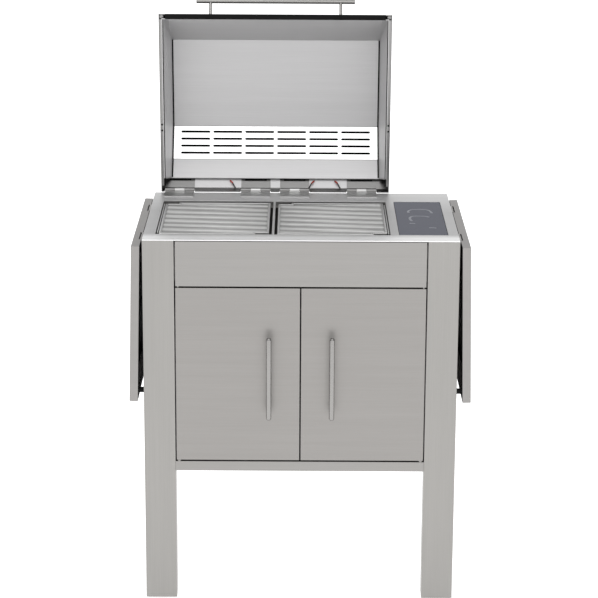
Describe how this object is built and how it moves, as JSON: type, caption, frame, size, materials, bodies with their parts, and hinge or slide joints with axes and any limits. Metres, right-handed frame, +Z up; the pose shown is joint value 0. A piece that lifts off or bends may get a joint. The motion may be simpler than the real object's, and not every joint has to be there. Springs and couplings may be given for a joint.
{
  "type": "gas_barbecue_grill",
  "caption": "Stainless gas barbecue grill on four square legs, with a lifting double-walled hood, grates, a glass control panel, a two-door cabinet and folding side shelves.",
  "frame": {"origin": "on the floor at the middle of the bounding box, with the hood open and the shelves hanging", "axes": "+X to the right as seen from the front, +Y to the back, +Z up"},
  "size_m": [0.852, 0.7108, 1.4572],
  "materials": {
    "brushed_steel": "brushed stainless sheet, brushed side to side",
    "bright_steel": "fine satin stainless steel",
    "plain_steel": "mill-finish stainless sheet",
    "dark_glass": "dark toughened glass over a touch panel",
    "black_rubber": "matt black rubber",
    "black_plastic": "matt black moulded plastic",
    "green_board": "circuit board laminate",
    "ceramic": "glazed white ceramic",
    "brass": "plain drawn brass",
    "red_silicone": "red silicone sleeve"
  },
  "bodies": {
    "stand": {"worktop": "brushed_steel", "fascia": "brushed_steel", "front_leg_left": "brushed_steel", "front_leg_right": "brushed_steel", "rear_legs": "brushed_steel", "leg_plugs": "plain_steel", "feet": "black_rubber", "side_panel_left": "brushed_steel", "side_panel_right": "brushed_steel", "back_panel": "brushed_steel", "cabinet_floor": "brushed_steel", "cabinet_walls": "plain_steel", "cabinet_divider": "plain_steel", "firebox": "plain_steel", "grate_rails": "plain_steel", "centre_bar": "bright_steel", "grate_left": "bright_steel", "grate_right": "bright_steel", "flame_tamers": "plain_steel", "burner_left": "plain_steel", "burner_right": "plain_steel", "manifold": "brass", "valve_block": "brass", "supply_pipe": "brass", "gas_inlet": "brass", "igniter_electrodes": "ceramic", "control_glass": "dark_glass", "control_housing": "black_plastic", "control_board": "green_board", "tray_rails": "plain_steel", "door_pins": "plain_steel", "door_catches": "black_plastic", "table_hinge_leaves": "bright_steel", "hood_hinge_pins": "bright_steel", "side_hinge_leaves": "bright_steel", "side_hinge_pins": "bright_steel", "shelf_bumpers": "black_rubber"},
    "hood": {"hood_shell": "brushed_steel", "hood_liner": "bright_steel", "hood_vent_panel": "bright_steel", "hood_side_rails": "plain_steel", "hood_front_seal": "black_rubber", "hood_handle": "bright_steel", "hood_handle_posts": "bright_steel", "hood_hinge_leaves": "bright_steel", "hood_leads": "red_silicone"},
    "left_door": {"door_left": "brushed_steel", "door_left_back": "plain_steel", "door_left_handle": "bright_steel"},
    "right_door": {"door_right": "brushed_steel", "door_right_back": "plain_steel", "door_right_handle": "bright_steel"},
    "left_shelf": {"shelf_left": "brushed_steel", "shelf_left_leaves": "plain_steel"},
    "right_shelf": {"shelf_right": "brushed_steel", "shelf_right_leaves": "plain_steel"},
    "tray": {"drip_tray": "plain_steel"}
  },
  "joints": [
    {"name": "hood_hinge", "type": "hinge", "parent": "stand", "child": "hood", "pos_m": [-0.0695, 0.21758, 0.951], "axis": [1, 0, 0], "range_deg": [0, 85]},
    {"name": "left_door_hinge", "type": "hinge", "parent": "stand", "child": "left_door", "pos_m": [-0.303, -0.30692, 0.6], "axis": [0, 0, -1], "range_deg": [0, 105]},
    {"name": "right_door_hinge", "type": "hinge", "parent": "stand", "child": "right_door", "pos_m": [0.303, -0.30692, 0.6], "axis": [0, 0, 1], "range_deg": [0, 105]},
    {"name": "left_shelf_hinge", "type": "hinge", "parent": "stand", "child": "left_shelf", "pos_m": [-0.396, -0.05042, 0.924], "axis": [0, 1, 0], "range_deg": [0, 88.7]},
    {"name": "right_shelf_hinge", "type": "hinge", "parent": "stand", "child": "right_shelf", "pos_m": [0.396, -0.05042, 0.924], "axis": [0, -1, 0], "range_deg": [0, 88.7]},
    {"name": "tray_slide", "type": "slide", "parent": "stand", "child": "tray", "axis": [0, 1, 0], "range_m": [0, 0.3]}
  ]
}
